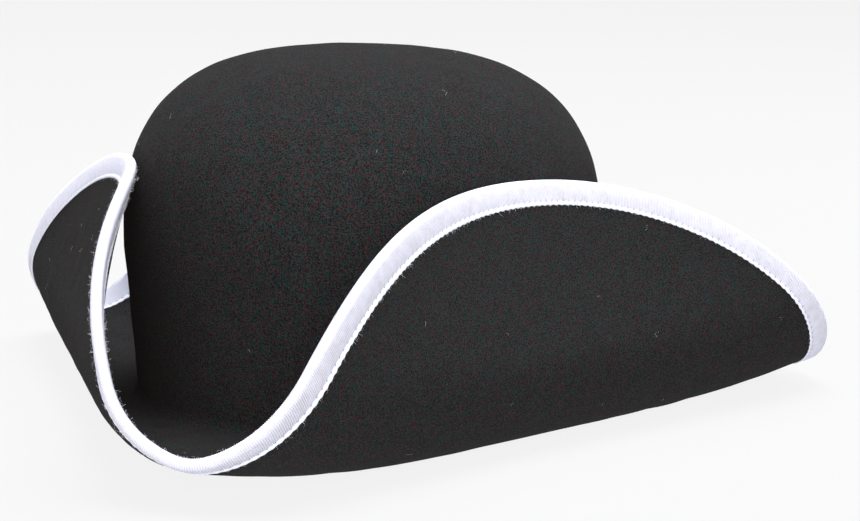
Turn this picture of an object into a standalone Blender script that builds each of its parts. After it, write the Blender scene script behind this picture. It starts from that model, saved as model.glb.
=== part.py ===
"""Three-cornered felt hat with a ribbon-bound brim, built from its separate pieces.

Metres, +Z up. The hat rests on the flat ring of brim round its head opening. Its front point is towards -Y,
+X is the wearer's left, and the origin is the middle of its footprint. Angles round the hat start at the front
point and grow towards +X.
"""

from collections import namedtuple

import bmesh
import bpy
import numpy as np

# Felt
FELT = 0.003
FIT_GAP = 0.0003  # between pieces that touch

# Crown, outside of the felt
CROWN_HALF_WIDTH = 0.0918
CROWN_HALF_LENGTH = 0.1067
CROWN_HEIGHT = 0.1442
WALL_HEIGHT = 0.0637
CROWN_SWELL = 0.1256  # how much wider the crown would be at full height than at its foot
CROWN_LEAN = -0.0293  # towards +X, for each metre of height
SHOULDER_RISE = 2.63  # superellipse exponents of the shoulder's profile
SHOULDER_RUN = 3.00

# Brim, flat before it is turned up
BRIM_WIDTH = 0.1109
BRIM_FRONT_EXTRA = 0.0137  # wider by this at the front, narrower at the back
FLAT_SHARE = 0.08  # share of the width that stays flat at the three points
FRONT_POINT_LIFT = 0.0149
REAR_POINT_LIFT = 0.0055

# The three turn-ups: each rolls the brim up about a straight line beside the crown. heading is the way the line
# faces, distance how far it is from the middle of the crown's foot, turn how far the brim turns, and the flares
# how much less it turns at the line's two ends. The two sides were turned up by hand and differ a little.
Fold = namedtuple("Fold", "heading distance radius widening turn front_flare rear_flare")


def fold_in_degrees(heading, distance, radius, widening, turn, front_flare, rear_flare):
    angles = np.radians([heading, turn, front_flare, rear_flare])
    return Fold(angles[0], distance, radius, widening, *angles[1:])


LEFT_FOLD = fold_in_degrees(64.0, 0.0948, 0.028, 0.11, 112.7, 12.4, 12.6)
RIGHT_FOLD = fold_in_degrees(-64.0, 0.0948, 0.028, 0.11, 108.2, 17.9, 14.8)
BACK_FOLD = fold_in_degrees(180.0, 0.1067, 0.0203, 0.0, 100.3, 0.0, 0.0)
FOLD_REACH = 0.14  # from the middle of a fold line to where its flare counts in full

# Edge binding, wire and stitching
TAPE_SHOWN = 0.0085  # width of ribbon on each face of the brim
TAPE = 0.0006
STITCH_INSET = 0.007  # stitch line to the brim's edge
THREAD_RADIUS = 0.00025
WIRE_RADIUS = 0.0006

# Inside the crown
SWEATBAND = 0.001
SWEATBAND_LOW = 0.0035
SWEATBAND_HIGH = 0.0355
SWEATBAND_STITCH_HEIGHT = 0.007
BOW_LENGTH = 0.026
BOW_HEIGHT = 0.010
BOW_DEPTH = 0.002
BOW_CENTRE_HEIGHT = 0.017
SIZE_TAB = (0.014, 0.0004, 0.016)  # width, thickness, height
SIZE_TAB_OFFSET = 0.028  # to the wearer's left of the bow
SIZE_TAB_LOW = 0.013

# Tacks that hold the turn-ups against the crown
TACK_ANGLES = {"flap_tack_left": 60.0, "flap_tack_right": -60.0, "flap_tack_back": 180.0}  # degrees
TACK_INSET = 0.014  # from the brim's edge, just past the ribbon
TACK_RADIUS = 0.0008

# Mesh fineness
EDGE_STATIONS = 84
POINT_CROWDING = 0.35  # how much closer the stations lie at the three points
CROWN_STATIONS = 56
SHOULDER_ROWS = 7

MATERIALS = {
    "felt": ((0.028, 0.026, 0.027), 0.95, 0.0),
    "ribbon": ((0.86, 0.85, 0.90), 0.70, 0.0),
    "white_thread": ((0.80, 0.79, 0.84), 0.60, 0.0),
    "black_thread": ((0.020, 0.020, 0.020), 0.60, 0.0),
    "steel_wire": ((0.55, 0.55, 0.56), 0.35, 1.0),
    "leather": ((0.030, 0.024, 0.020), 0.50, 0.0),
    "black_ribbon": ((0.015, 0.015, 0.017), 0.45, 0.0),
    "label_cloth": ((0.75, 0.73, 0.68), 0.80, 0.0),
}


# ---- Mesh helpers ----


def clear_scene():
    for item in list(bpy.data.objects):
        bpy.data.objects.remove(item, do_unlink=True)


def material(name):
    """The named material, made the first time it is asked for."""
    found = bpy.data.materials.get(name)
    if found:
        return found
    colour, roughness, metallic = MATERIALS[name]
    made = bpy.data.materials.new(name)
    made.use_nodes = True
    shader = made.node_tree.nodes["Principled BSDF"]
    shader.inputs["Base Color"].default_value = (*colour, 1.0)
    shader.inputs["Roughness"].default_value = roughness
    shader.inputs["Metallic"].default_value = metallic
    return made


def loft(name, rings, material_name, closed):
    """A solid through rings of points. Closed joins the last ring to the first; otherwise both ends are capped."""
    mesh = bmesh.new()
    rows = [[mesh.verts.new(point) for point in ring] for ring in rings]
    pairs = list(zip(rows, rows[1:]))
    if closed:
        pairs.append((rows[-1], rows[0]))
    for low, high in pairs:
        for i in range(len(low)):
            j = (i + 1) % len(low)
            mesh.faces.new((low[i], low[j], high[j], high[i]))
    if not closed:
        for row, ring in ((rows[0], rings[0]), (rows[-1], rings[-1])):
            middle = mesh.verts.new(np.mean(ring, axis=0))
            for i in range(len(row)):
                mesh.faces.new((row[i], row[(i + 1) % len(row)], middle))
    bmesh.ops.recalc_face_normals(mesh, faces=mesh.faces)
    data = bpy.data.meshes.new(name)
    mesh.to_mesh(data)
    mesh.free()
    data.shade_smooth()
    data.set_sharp_from_angle(angle=np.radians(40))
    data.materials.append(material(material_name))
    piece = bpy.data.objects.new(name, data)
    bpy.context.scene.collection.objects.link(piece)
    return piece


# ---- Shapes of the crown and the brim ----


def crown_share(height):
    """The crown's half width at a height above the table, as a share of that at its foot."""
    top = CROWN_HEIGHT
    wall = 1 + CROWN_SWELL * np.minimum(height, WALL_HEIGHT) / top
    rise = np.clip((height - WALL_HEIGHT) / (top - WALL_HEIGHT), 0, 1)
    return wall * (1 - rise**SHOULDER_RISE) ** (1 / SHOULDER_RUN)


def oval(angles, inset, share=1.0):
    """Points of the crown's oval, drawn in by inset and scaled by share, as x and y."""
    half_width = CROWN_HALF_WIDTH * share - inset
    half_length = CROWN_HALF_LENGTH * share - inset
    return half_width * np.sin(angles), -half_length * np.cos(angles)


def crown_ring(angles, height, inset=0.0):
    """One ring of the crown at a height, inset from the felt's outside."""
    x, y = oval(angles, inset, crown_share(height))
    return np.stack([x + CROWN_LEAN * height, y, np.full_like(x, height)], axis=-1)


def rolled(x, y, fold):
    """The move of a flat brim point as the brim is rolled up about one fold line."""
    out_x, out_y = np.sin(fold.heading), -np.cos(fold.heading)
    # Along the fold line, above zero towards the back of the hat.
    along = (y * out_x - x * out_y) * np.sign(fold.heading) / FOLD_REACH
    reach = np.minimum(np.abs(along), 1.4)
    flare = np.where(along > 0, fold.rear_flare * reach**4, fold.front_flare * reach**2)
    turn = np.maximum(fold.turn - flare, 0.05)
    radius = fold.radius * (1 + fold.widening * reach**2)
    past = np.maximum(x * out_x + y * out_y - fold.distance, 0)
    angle = np.minimum(past / radius, turn)
    straight = past - radius * angle
    shift = radius * np.sin(angle) + straight * np.cos(angle) - past
    lift = radius * (1 - np.cos(angle)) + straight * np.sin(angle)
    return out_x * shift, out_y * shift, lift


def brim_width(angles):
    return BRIM_WIDTH + BRIM_FRONT_EXTRA * np.cos(angles)


def brim_middle(angles, share):
    """The middle of the brim's felt, for shares of its width from the crown (0) to the edge (1)."""
    out_x = np.sin(angles) / CROWN_HALF_WIDTH
    out_y = -np.cos(angles) / CROWN_HALF_LENGTH
    size = np.hypot(out_x, out_y)
    foot_x, foot_y = oval(angles, 0.0)
    x = foot_x + out_x / size * brim_width(angles) * share
    y = foot_y + out_y / size * brim_width(angles) * share
    moves = [rolled(x, y, turn_up) for turn_up in (LEFT_FOLD, RIGHT_FOLD, BACK_FOLD)]
    move_x, move_y, lift = np.sum(moves, axis=0)
    frontness = 0.5 + 0.5 * np.cos(angles)
    point_lift = REAR_POINT_LIFT + (FRONT_POINT_LIFT - REAR_POINT_LIFT) * frontness
    pointness = 0.5 + 0.5 * np.cos(3 * angles)
    past_flat = np.maximum(share - FLAT_SHARE, 0) / (1 - FLAT_SHARE)
    return np.stack(
        [
            x + move_x,
            y + move_y,
            FELT / 2 + lift + point_lift * pointness * past_flat**2,
        ],
        axis=-1,
    )


def brim_frame(angles, share):
    """Point, outward direction in the sheet, and upward normal of the brim's middle sheet."""
    step = 1e-4
    along = brim_middle(angles + step, share) - brim_middle(angles - step, share)
    along /= np.linalg.norm(along, axis=-1, keepdims=True)
    outward = brim_middle(angles, share + step) - brim_middle(angles, share - step)
    outward -= along * np.sum(outward * along, axis=-1, keepdims=True)
    outward /= np.linalg.norm(outward, axis=-1, keepdims=True)
    return brim_middle(angles, share), outward, np.cross(outward, along)


def brim_ring(angles, inset, offset):
    """A ring at a distance in from the brim's edge, lifted off the middle sheet by offset."""
    point, _, up = brim_frame(angles, 1 - inset / brim_width(angles))
    return point + up * offset


def edge_ring(angles, outward_by, up_by):
    """A ring beyond the brim's edge, outwards in the sheet and up from it."""
    point, outward, up = brim_frame(angles, np.ones_like(angles))
    return point + outward * outward_by + up * up_by


def station_angles():
    """Angles for everything that follows the brim, closer together at the three points."""
    even = np.linspace(0, 2 * np.pi, EDGE_STATIONS, endpoint=False)
    return even - POINT_CROWDING * np.sin(3 * even) / 3


# ---- The pieces ----


def make_crown():
    angles = np.linspace(0, 2 * np.pi, CROWN_STATIONS, endpoint=False)
    foot = FELT + FIT_GAP
    wall_heights = list(np.linspace(foot, WALL_HEIGHT, 4))
    # The rows of the shoulder narrow slowly at first, then in even steps to the middle of the top.
    shares = 1 - np.linspace(0, 1, SHOULDER_ROWS + 1)[1:-1] ** 2
    rises = (1 - shares**SHOULDER_RUN) ** (1 / SHOULDER_RISE)
    heights = wall_heights + list(WALL_HEIGHT + (CROWN_HEIGHT - WALL_HEIGHT) * rises)
    outside = [crown_ring(angles, h) for h in heights]
    # The inside is the outside shrunk by the felt, so each of its rows drops in step with its height.
    inside = []
    for h in heights:
        ring = crown_ring(angles, h, inset=FELT)
        ring[:, 2] -= FELT * (h - foot) / (CROWN_HEIGHT - foot)
        inside.append(ring)
    crown = loft("felt_crown", outside[::-1] + inside, "felt", closed=False)
    flatten_caps(crown, CROWN_HEIGHT, CROWN_HEIGHT - FELT)
    return crown


def flatten_caps(crown, top_outside, top_inside):
    """Raises the middle point of the crown's two caps to the top of the felt."""
    on_axis = [v for v in crown.data.vertices if np.hypot(v.co.x - CROWN_LEAN * v.co.z, v.co.y) < 0.001]
    low, high = sorted(on_axis, key=lambda v: v.co.z)
    low.co.z, high.co.z = top_inside, top_outside


def make_brim(angles):
    width = brim_width(angles)
    near_edge = [TAPE_SHOWN, STITCH_INSET, STITCH_INSET / 2, 0.0]
    inner_shares = [FLAT_SHARE, 0.17, 0.26, 0.35, 0.44, 0.54, 0.65, 0.77]
    insets = [width + FELT, width]
    insets += [width * (1 - share) for share in inner_shares]
    insets += [np.full_like(angles, inset) for inset in near_edge]
    under = [brim_ring(angles, inset, -FELT / 2) for inset in insets]
    upper = [brim_ring(angles, inset, FELT / 2) for inset in insets]
    return loft("felt_brim", under + upper[::-1], "felt", closed=True)


def tape_section(angles, offset):
    """Rings of one face of the folded ribbon: along the brim's underside, round its edge and back on top."""
    insets = [TAPE_SHOWN, STITCH_INSET, STITCH_INSET / 2, 0.0]
    under = [brim_ring(angles, inset, -offset) for inset in insets]
    turns = np.radians([-45, 0, 45])
    round_edge = [edge_ring(angles, offset * np.cos(a), offset * np.sin(a)) for a in turns]
    upper = [brim_ring(angles, inset, offset) for inset in reversed(insets)]
    return under + round_edge + upper


def make_binding(angles):
    inner = FELT / 2 + FIT_GAP
    outer = inner + TAPE
    # The inner face runs the same way as the felt's rings, so that their facets are parallel.
    rings = tape_section(angles, inner) + tape_section(angles, outer)[::-1]
    return loft("binding_tape", rings, "ribbon", closed=True)


def tube_rings(point, outward, up, radius, sides):
    """Rings of a closed tube along a ring of points."""
    turns = np.linspace(0, 2 * np.pi, sides, endpoint=False)
    return [point + radius * (outward * np.cos(a) + up * np.sin(a)) for a in turns]


def make_edge_wire(angles):
    point, outward, up = brim_frame(angles, np.ones_like(angles))
    centre = point + outward * (FIT_GAP + WIRE_RADIUS)
    rings = tube_rings(centre, outward, up, WIRE_RADIUS, sides=6)
    return loft("edge_wire", rings, "steel_wire", closed=True)


def make_binding_threads(angles):
    share = 1 - STITCH_INSET / brim_width(angles)
    point, outward, up = brim_frame(angles, share)
    height = FELT / 2 + FIT_GAP + TAPE + FIT_GAP + THREAD_RADIUS
    for name, side in (("binding_thread", -1), ("binding_bobbin_thread", 1)):
        rings = tube_rings(point + up * height * side, outward, up, THREAD_RADIUS, sides=4)
        loft(name, rings, "white_thread", closed=True)


def band_ring(angles, height, inset):
    """A ring inside the crown, inset from the outside of the crown's wall."""
    return crown_ring(angles, np.float64(height), inset)


def make_sweatband():
    angles = np.linspace(0, 2 * np.pi, CROWN_STATIONS, endpoint=False)
    outside = FELT + FIT_GAP
    inside = outside + SWEATBAND
    corners = [
        (SWEATBAND_LOW, outside),
        (SWEATBAND_HIGH, outside),
        (SWEATBAND_HIGH, inside),
        (SWEATBAND_LOW, inside),
    ]
    loft("sweatband", [band_ring(angles, h, inset) for h, inset in corners], "leather", closed=True)

    centre = inside + FIT_GAP + THREAD_RADIUS
    turns = np.radians([0, 90, 180, 270])
    rings = [
        band_ring(
            angles,
            SWEATBAND_STITCH_HEIGHT + THREAD_RADIUS * np.sin(a),
            centre + THREAD_RADIUS * np.cos(a),
        )
        for a in turns
    ]
    loft("sweatband_thread", rings, "black_thread", closed=True)


def on_band(x, height, off):
    """A point at the back of the hat, off the sweatband's inner face."""
    share = crown_share(np.float64(height))
    inset = FELT + FIT_GAP + SWEATBAND + FIT_GAP
    half_width = CROWN_HALF_WIDTH * share - inset
    half_length = CROWN_HALF_LENGTH * share - inset
    y = half_length * np.sqrt(1 - ((x - CROWN_LEAN * height) / half_width) ** 2)
    return np.array([x, y - off, height])


def make_bow():
    """A small flat bow: two loops that widen from the knot, laid along the band."""
    shape = [(-1.0, 0.75), (-0.8, 1.0), (-0.35, 0.62), (-0.16, 0.34), (-0.12, 0.62)]
    shape += [(-share, height) for share, height in reversed(shape)]
    rings = []
    for share, height in shape:
        x = share * BOW_LENGTH / 2
        half = height * BOW_HEIGHT / 2
        low, high = BOW_CENTRE_HEIGHT - half, BOW_CENTRE_HEIGHT + half
        rings.append([on_band(x, z, off) for z, off in ((low, 0), (high, 0), (high, BOW_DEPTH), (low, BOW_DEPTH))])
    return loft("sweatband_bow", rings, "black_ribbon", closed=False)


def make_size_tab():
    width, thickness, height = SIZE_TAB
    low, high = SIZE_TAB_LOW, SIZE_TAB_LOW + height
    rings = []
    for x in SIZE_TAB_OFFSET + width * np.array([-0.5, 0.0, 0.5]):
        corners = ((low, 0), (high, 0), (high, thickness), (low, thickness))
        rings.append([on_band(x, z, off) for z, off in corners])
    return loft("size_tab", rings, "label_cloth", closed=False)


def make_flap_tack(name, degrees):
    """A short bar of thread between a turn-up's inner face and the crown's wall."""
    angle = np.array([np.radians(degrees)])
    point, _, up = brim_frame(angle, 1 - TACK_INSET / brim_width(angle))
    start = (point + up * (FELT / 2 + 2 * FIT_GAP))[0]
    share = crown_share(start[2])
    axis = np.array([CROWN_LEAN * start[2], 0.0, start[2]])
    reach = np.hypot(*((start - axis)[:2] / (CROWN_HALF_WIDTH * share, CROWN_HALF_LENGTH * share)))
    wall = axis + (start - axis) / reach
    line = wall - start
    length = np.linalg.norm(line)
    end = start + line * (1 - FIT_GAP / length)
    across = np.cross(line / length, [0, 0, 1])
    turns = np.linspace(0, 2 * np.pi, 8, endpoint=False)
    circle = [TACK_RADIUS * (across * np.cos(a) + np.array([0, 0, 1]) * np.sin(a)) for a in turns]
    return loft(name, [[end_point + c for c in circle] for end_point in (start, end)], "black_thread", closed=False)


def centre_footprint():
    """Moves the hat so that the origin is the middle of its footprint."""
    pieces = list(bpy.context.scene.objects)
    ys = [v.co.y for piece in pieces for v in piece.data.vertices]
    middle = (min(ys) + max(ys)) / 2
    for piece in pieces:
        piece.location.y = -middle


def main():
    clear_scene()
    angles = station_angles()
    make_crown()
    make_brim(angles)
    make_binding(angles)
    make_edge_wire(angles)
    make_binding_threads(angles)
    make_sweatband()
    make_bow()
    make_size_tab()
    for name, degrees in TACK_ANGLES.items():
        make_flap_tack(name, degrees)
    centre_footprint()


main()
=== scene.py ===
"""Looks of a cocked hat: black blocked felt with a white ribbed ribbon bound round the edge of its brim.

Metres, +Z up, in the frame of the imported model. Shapes are worked out in the hat's own coordinates, whose
origin is on the table under the middle of the crown, and are moved to the frame as they become meshes. Angles
round the hat start at the front point and grow towards +X.
"""

from collections import namedtuple

import bmesh
import bpy
import numpy as np
from mathutils import Matrix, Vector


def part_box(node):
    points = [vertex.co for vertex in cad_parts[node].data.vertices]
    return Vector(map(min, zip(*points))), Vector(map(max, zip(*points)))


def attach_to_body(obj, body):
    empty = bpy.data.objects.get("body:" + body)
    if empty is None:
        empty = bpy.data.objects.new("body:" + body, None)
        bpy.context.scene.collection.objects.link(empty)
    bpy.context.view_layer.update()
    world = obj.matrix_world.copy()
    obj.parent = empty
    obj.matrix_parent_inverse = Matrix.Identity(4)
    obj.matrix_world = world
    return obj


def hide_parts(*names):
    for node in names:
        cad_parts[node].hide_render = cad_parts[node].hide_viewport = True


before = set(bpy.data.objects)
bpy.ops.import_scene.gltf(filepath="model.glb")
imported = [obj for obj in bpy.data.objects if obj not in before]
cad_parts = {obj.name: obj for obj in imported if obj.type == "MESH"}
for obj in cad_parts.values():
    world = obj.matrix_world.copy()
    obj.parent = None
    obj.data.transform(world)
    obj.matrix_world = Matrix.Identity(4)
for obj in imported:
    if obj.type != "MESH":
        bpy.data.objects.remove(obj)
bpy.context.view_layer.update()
CROWN_LOW, CROWN_HIGH = (np.array(corner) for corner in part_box("felt_crown"))
HAT_ORIGIN = np.array([0.0, (CROWN_LOW[1] + CROWN_HIGH[1]) / 2, 0.0])
RANDOM_SEED = 7

# ---- Driving dimensions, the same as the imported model's ----

FELT = 0.003
CROWN_HALF_WIDTH = 0.0918
CROWN_HALF_LENGTH = 0.1067
CROWN_HEIGHT = CROWN_HIGH[2]
WALL_HEIGHT = 0.0637
CROWN_SWELL = 0.1256
CROWN_LEAN = -0.0293
SHOULDER_RISE = 2.63
SHOULDER_RUN = 3.00
BRIM_WIDTH = 0.1109
BRIM_FRONT_EXTRA = 0.0137
FLAT_SHARE = 0.08
FRONT_POINT_LIFT = 0.0149
REAR_POINT_LIFT = 0.0055
Fold = namedtuple("Fold", "heading distance radius widening turn front_flare rear_flare")


def fold_in_degrees(heading, distance, radius, widening, turn, front_flare, rear_flare):
    angles = np.radians([heading, turn, front_flare, rear_flare])
    return Fold(angles[0], distance, radius, widening, *angles[1:])


LEFT_FOLD = fold_in_degrees(64.0, 0.0948, 0.028, 0.11, 112.7, 12.4, 12.6)
RIGHT_FOLD = fold_in_degrees(-64.0, 0.0948, 0.028, 0.11, 108.2, 17.9, 14.8)
BACK_FOLD = fold_in_degrees(180.0, 0.1067, 0.0203, 0.0, 100.3, 0.0, 0.0)
FOLD_REACH = 0.14
TAPE_SHOWN = 0.0085
STITCH_INSET = 0.007
WIRE_RADIUS = 0.0006
WIRE_BEYOND_EDGE = 0.0009
SWEATBAND = 0.001
SWEATBAND_GAP = 0.0003
SWEATBAND_FREE = 0.0005  # the band's top edge stands off the crown by this much more
SWEATBAND_STITCHES = 196
SWEATBAND_STITCH_HEIGHT = 0.007
TACK_ANGLES = {"left": 60.0, "right": -60.0, "back": 180.0}
TACK_INSET = 0.014

# ---- Felt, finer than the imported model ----

FELT_COLUMNS = 600
POINT_CROWDING = 0.35
BREAK = 0.004  # radius of the bend from the crown to the brim, on its upper side
UNDER_BREAK = 0.0025  # the same on its underside
BREAK_ROWS = 8
FELT_TONE = 0.0145
FELT_PAINTED_GLOW = 0.004  # a faint warm glow painted into the felt, which lifts its darkest shade
FELT_WAVE = 0.00012  # height of the soft unevenness that blocking leaves
FELT_WAVE_LENGTHS = (0.012, 0.045)
STITCH_PRESS = 0.0003  # how far the stitching presses the felt

# ---- Ribbon ----

RIB_PITCH = 0.0009
RIBS_PER_STITCH = 4
RIB_DEPTH = 0.00018
RIBBON = 0.00045
RIBBON_GAP = 0.00005
FOLD_PADDING = 0.0003  # the ribbon bulges this much more where it wraps the wire
STITCH_DIMPLE = 0.00022
RIDGE = 0.0078  # middle of the puffed strip between the stitches and the ribbon's border
RIDGE_HALF_WIDTH = 0.00055
RIDGE_HEIGHT = 0.00038
SCALLOP = 0.00035
LAP = 0.012  # the ribbon's end lies over its start by this much
LAP_TURN = 0.004  # the lap starts this far past the centre back
LAP_RISE = RIBBON + 0.0002  # the lapped end rides this much higher
THREAD_RADIUS = 0.00014
THREAD_SINK = 0.0003  # how far a stitch's ends lie below the ribbon's face
THREAD_ARCH = 0.00018  # how much its middle rises above them

# ---- Fibres: how many, and how thick ----

HAIR_RADIUS = 0.000017
CROWN_FUZZ = 3000
BRIM_FUZZ = 5000
CROWN_STRAYS = 60
BRIM_STRAYS = 120
LINT_RADIUS = 0.000024
LINT_COUNT = 7200

# ---- Studio ----

FLOOR_GLOW = 0.865  # the floor is lit evenly enough to take only a faint shadow
FLOOR_TONE = 0.03
FLOOR_HALF = 14.0
FLOOR_DROP = 0.0002
BACKDROP_GREY = 0.885
CEILING_GREY = 0.02
BACKDROP_TOP = 0.14  # sines of the elevations between which the backdrop fades into the ceiling
CEILING_START = 0.34
FOCAL_LENGTH = 135.56
SENSOR_WIDTH = 36.0
CAMERA_ANGLES = (14.15, 8.56, 1.243)  # azimuth, elevation and roll, in degrees
CAMERA_DISTANCE = 1.3338
CAMERA_SHIFT = (0.02518, 0.00498)  # how far right and up the camera looks past the hat's middle
HAT_MIDDLE = HAT_ORIGIN + [0.0, 0.0, 0.05]  # what the camera and the lamps look at
LAMP_DISTANCE = 2.0
LAMP_SIZE = 1.4
LAMPS = (  # name, azimuth, elevation, watts, colour
    ("front", 10, 15, 44, (1.0, 0.97, 0.95)),
    ("top", 30, 85, 62, (0.98, 0.99, 1.0)),
    ("top_back", 180, 60, 25, (0.96, 0.98, 1.0)),
    ("back_right", 150, 30, 16, (0.96, 0.98, 1.0)),
)


# ---- Numbers ----


def smooth_step(value, low, high):
    """0 at low, 1 at high and smooth between."""
    share = np.clip((value - low) / (high - low), 0, 1)
    return share * share * (3 - 2 * share)


def bump_at(value, centre, width):
    return np.exp(-(((value - centre) / width) ** 2))


def soft_waves(points, rng, shortest, longest, count=14):
    """A smooth, uneven field from about -1 to 1: waves of many lengths in many directions."""
    total = np.zeros(len(points))
    for _ in range(count):
        heading = rng.normal(size=3)
        length = rng.uniform(shortest, longest)
        wave = 2 * np.pi * heading / np.linalg.norm(heading) / length
        total += np.sin(points @ wave + rng.uniform(0, 2 * np.pi))
    return total / np.sqrt(count)


# ---- Shapes of the crown and the brim ----


def crown_share(height):
    """The crown's half width at a height above the table, as a share of that at its foot."""
    wall = 1 + CROWN_SWELL * np.minimum(height, WALL_HEIGHT) / CROWN_HEIGHT
    rise = np.clip((height - WALL_HEIGHT) / (CROWN_HEIGHT - WALL_HEIGHT), 0, 1)
    return wall * (1 - rise**SHOULDER_RISE) ** (1 / SHOULDER_RUN)


def oval(angles, inset, share=1.0):
    """The crown's outline, scaled by a share and then taken in by an inset."""
    half_width = CROWN_HALF_WIDTH * share - inset
    half_length = CROWN_HALF_LENGTH * share - inset
    return half_width * np.sin(angles), -half_length * np.cos(angles)


def crown_ring(angles, height, inset=0.0):
    x, y = oval(angles, inset, crown_share(np.float64(height)))
    return np.stack([x + CROWN_LEAN * height, y, np.full_like(x, height)], axis=-1)


def rolled(x, y, fold):
    """The move of a flat brim point as the brim is rolled up about one fold line."""
    out_x, out_y = np.sin(fold.heading), -np.cos(fold.heading)
    along = (y * out_x - x * out_y) * np.sign(fold.heading) / FOLD_REACH
    reach = np.minimum(np.abs(along), 1.4)
    flare = np.where(along > 0, fold.rear_flare * reach**4, fold.front_flare * reach**2)
    turn = np.maximum(fold.turn - flare, 0.05)
    radius = fold.radius * (1 + fold.widening * reach**2)
    past = np.maximum(x * out_x + y * out_y - fold.distance, 0)
    angle = np.minimum(past / radius, turn)
    straight = past - radius * angle
    shift = radius * np.sin(angle) + straight * np.cos(angle) - past
    lift = radius * (1 - np.cos(angle)) + straight * np.sin(angle)
    return out_x * shift, out_y * shift, lift


def brim_width(angles):
    return BRIM_WIDTH + BRIM_FRONT_EXTRA * np.cos(angles)


def brim_middle(angles, share):
    """The middle of the brim's felt, for shares of its width from the crown (0) to the edge (1)."""
    out_x = np.sin(angles) / CROWN_HALF_WIDTH
    out_y = -np.cos(angles) / CROWN_HALF_LENGTH
    size = np.hypot(out_x, out_y)
    foot_x, foot_y = oval(angles, 0.0)
    x = foot_x + out_x / size * brim_width(angles) * share
    y = foot_y + out_y / size * brim_width(angles) * share
    moves = [rolled(x, y, turn_up) for turn_up in (LEFT_FOLD, RIGHT_FOLD, BACK_FOLD)]
    move_x, move_y, lift = np.sum(moves, axis=0)
    frontness = 0.5 + 0.5 * np.cos(angles)
    point_lift = REAR_POINT_LIFT + (FRONT_POINT_LIFT - REAR_POINT_LIFT) * frontness
    pointness = 0.5 + 0.5 * np.cos(3 * angles)
    past_flat = np.maximum(share - FLAT_SHARE, 0) / (1 - FLAT_SHARE)
    return np.stack(
        [
            x + move_x,
            y + move_y,
            FELT / 2 + lift + point_lift * pointness * past_flat**2,
        ],
        axis=-1,
    )


def brim_frame(angles, share):
    """Point, outward direction in the sheet, and upward normal of the brim's middle sheet."""
    step = 1e-4
    along = brim_middle(angles + step, share) - brim_middle(angles - step, share)
    along /= np.linalg.norm(along, axis=-1, keepdims=True)
    outward = brim_middle(angles, share + step) - brim_middle(angles, share - step)
    outward -= along * np.sum(outward * along, axis=-1, keepdims=True)
    outward /= np.linalg.norm(outward, axis=-1, keepdims=True)
    return brim_middle(angles, share), outward, np.cross(outward, along)


def brim_ring(angles, inset, offset):
    """A ring at a distance in from the brim's edge, lifted off the middle sheet by offset."""
    point, _, up = brim_frame(angles, 1 - inset / brim_width(angles))
    return point + up * np.expand_dims(offset, -1)


def edge_ring(angles, outward_by, up_by):
    """A ring beyond the brim's edge, outwards in the sheet and up from it."""
    point, outward, up = brim_frame(angles, np.ones_like(angles))
    return point + outward * np.expand_dims(outward_by, -1) + up * np.expand_dims(up_by, -1)


class EdgeRun:
    """Turns a distance along the brim's edge, from the front point, into an angle round the hat."""

    def __init__(self):
        self.angles = np.linspace(0, 2 * np.pi, 7201)
        points = brim_middle(self.angles, np.ones_like(self.angles))
        steps = np.linalg.norm(np.diff(points, axis=0), axis=1)
        self.runs = np.concatenate([[0], np.cumsum(steps)])
        self.length = self.runs[-1]
        self.back = np.interp(np.pi, self.angles, self.runs)

    def angle_at(self, run):
        turns = np.floor(run / self.length)
        return np.interp(run - turns * self.length, self.runs, self.angles) + 2 * np.pi * turns


EDGE = EdgeRun()


# ---- Meshes ----


def new_piece(name, points, faces, material, sharp=50):
    """A mesh object in the frame, from points in the hat's coordinates. Its faces are turned to point out."""
    data = bpy.data.meshes.new(name)
    data.from_pydata(np.asarray(points) + HAT_ORIGIN, [], faces)
    mesh = bmesh.new()
    mesh.from_mesh(data)
    if mesh.calc_volume(signed=True) < 0:
        bmesh.ops.reverse_faces(mesh, faces=mesh.faces)
    large = [face for face in mesh.faces if len(face.verts) > 4]
    bmesh.ops.triangulate(mesh, faces=large, ngon_method="EAR_CLIP")
    mesh.to_mesh(data)
    mesh.free()
    data.shade_smooth()
    data.set_sharp_from_angle(angle=np.radians(sharp))
    data.materials.append(material)
    piece = bpy.data.objects.new(name, data)
    bpy.context.scene.collection.objects.link(piece)
    return piece


def ring_faces(rows, columns, closed_rows=False, closed_columns=True):
    """Quads between rings. Point c of ring r has index r * columns + c."""
    row_count = rows if closed_rows else rows - 1
    column_count = columns if closed_columns else columns - 1
    r, c = np.meshgrid(np.arange(row_count), np.arange(column_count), indexing="ij")
    next_r, next_c = (r + 1) % rows, (c + 1) % columns
    corners = [r * columns + c, r * columns + next_c, next_r * columns + next_c, next_r * columns + c]
    return np.stack(corners, axis=-1).reshape(-1, 4).tolist()


def strip_faces(section, stations):
    """Faces of a closed strip, whose section runs through a number of stations, with a cap at each end."""
    faces = ring_faces(section, stations, closed_rows=True, closed_columns=False)
    start_cap = [r * stations for r in range(section)]
    end_cap = [r * stations + stations - 1 for r in range(section)][::-1]
    return [*faces, start_cap, end_cap]


def domed(name, rings, low_tip, high_tip, material):
    """A closed body through rings, whose first and last ring each close on a tip."""
    rows, columns = len(rings), len(rings[0])
    points = np.concatenate([*rings, [low_tip], [high_tip]])
    faces = ring_faces(rows, columns)
    first, last = rows * columns, rows * columns + 1
    for c in range(columns):
        after = (c + 1) % columns
        faces.append([first, after, c])
        faces.append([last, (rows - 1) * columns + c, (rows - 1) * columns + after])
    return new_piece(name, points, faces, material)


def hoop(name, rings, material, sharp=50):
    """A closed body through rings, the last of which joins the first."""
    rows, columns = len(rings), len(rings[0])
    faces = ring_faces(rows, columns, closed_rows=True)
    return new_piece(name, np.concatenate(rings), faces, material, sharp)


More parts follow.
